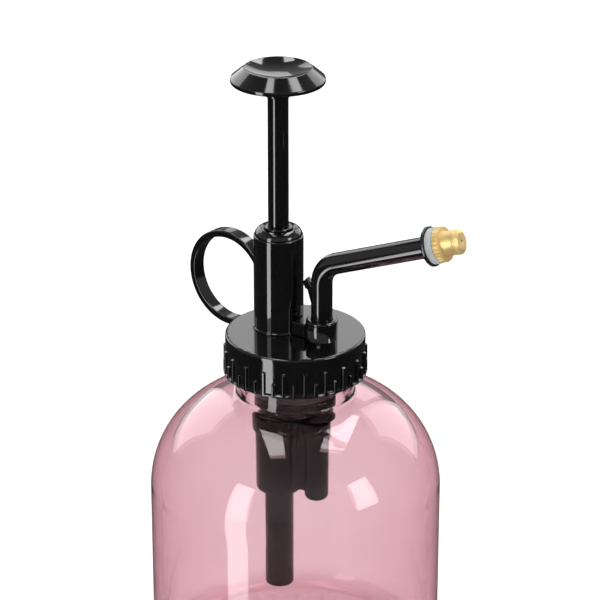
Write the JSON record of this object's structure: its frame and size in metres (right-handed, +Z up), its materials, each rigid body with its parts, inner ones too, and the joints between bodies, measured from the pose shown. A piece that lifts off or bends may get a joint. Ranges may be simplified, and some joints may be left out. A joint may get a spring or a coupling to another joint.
{
  "type": "hand mister",
  "caption": "Glass bottle with a screw-on press-down pump: thumb knob, side finger ring, upswept spray arm and a small brass mist nozzle.",
  "frame": {"origin": "middle of the bottle's flat underside, on the surface that it stands on", "axes": "+Z up along the bottle's axis, +X along the spray arm, towards the nozzle"},
  "size_m": [0.0897, 0.08, 0.1751],
  "materials": {
    "pink_glass": "clear tinted, polished",
    "black_plastic": "high gloss moulded",
    "rubber": "smooth",
    "steel": "drawn and ground",
    "brass": "satin turned",
    "milky_plastic": "translucent milky"
  },
  "bodies": {
    "bottle": {"bottle": "pink_glass"},
    "gasket": {"neck_gasket": "rubber"},
    "head": {"screw_cap": "black_plastic", "pump_barrel": "black_plastic", "gland_nut": "black_plastic", "rod_seal": "rubber", "return_spring": "steel", "pump_housing": "black_plastic", "pump_chamber": "black_plastic", "joint_seal": "rubber", "outlet_spring": "steel", "inlet_seat": "black_plastic", "dip_tube": "black_plastic", "ball_cage": "black_plastic", "spray_arm": "black_plastic", "arm_seal": "rubber"},
    "plunger": {"plunger_knob": "black_plastic", "plunger_rod": "black_plastic", "piston": "black_plastic", "piston_seal": "rubber"},
    "inlet_ball": {"inlet_ball": "steel"},
    "outlet_ball": {"outlet_ball": "steel"},
    "washer": {"nozzle_washer": "milky_plastic"},
    "nozzle": {"nozzle_body": "brass", "nozzle_tip": "brass", "swirl_core": "brass"}
  },
  "joints": [
    {"name": "head_rise", "type": "slide", "parent": "bottle", "child": "gasket", "axis": [0, 0, 1], "range_m": [0, 0.0048]},
    {"name": "head_turn", "type": "hinge", "parent": "gasket", "child": "head", "pos_m": [0, 0, 0.0955], "axis": [0, 0, 1], "range_deg": [0, 541]},
    {"name": "plunger_press", "type": "slide", "parent": "head", "child": "plunger", "axis": [0, 0, 1], "range_m": [-0.035, 0], "stiffness_N_per_m": 300, "springref_m": 0.0075, "deforming": ["return_spring"]},
    {"name": "inlet_lift", "type": "slide", "parent": "head", "child": "inlet_ball", "axis": [0, 0, 1], "range_m": [0, 0.0022]},
    {"name": "outlet_lift", "type": "slide", "parent": "head", "child": "outlet_ball", "axis": [0, 0, 1], "range_m": [0, 0.0012], "stiffness_N_per_m": 30, "springref_m": -0.003, "deforming": ["outlet_spring"]},
    {"name": "nozzle_out", "type": "slide", "parent": "head", "child": "washer", "axis": [0.9385, 0, 0.3453], "range_m": [0, 0.0032]},
    {"name": "nozzle_turn", "type": "hinge", "parent": "washer", "child": "nozzle", "pos_m": [0.04062, 0, 0.13383], "axis": [0.9385, 0, 0.3453], "range_deg": [0, 1442]}
  ],
  "couplings": [
    {"joint": "head_turn", "follows": "head_rise", "rad_per_m": 1963.5},
    {"joint": "nozzle_turn", "follows": "nozzle_out", "rad_per_m": 7854}
  ]
}
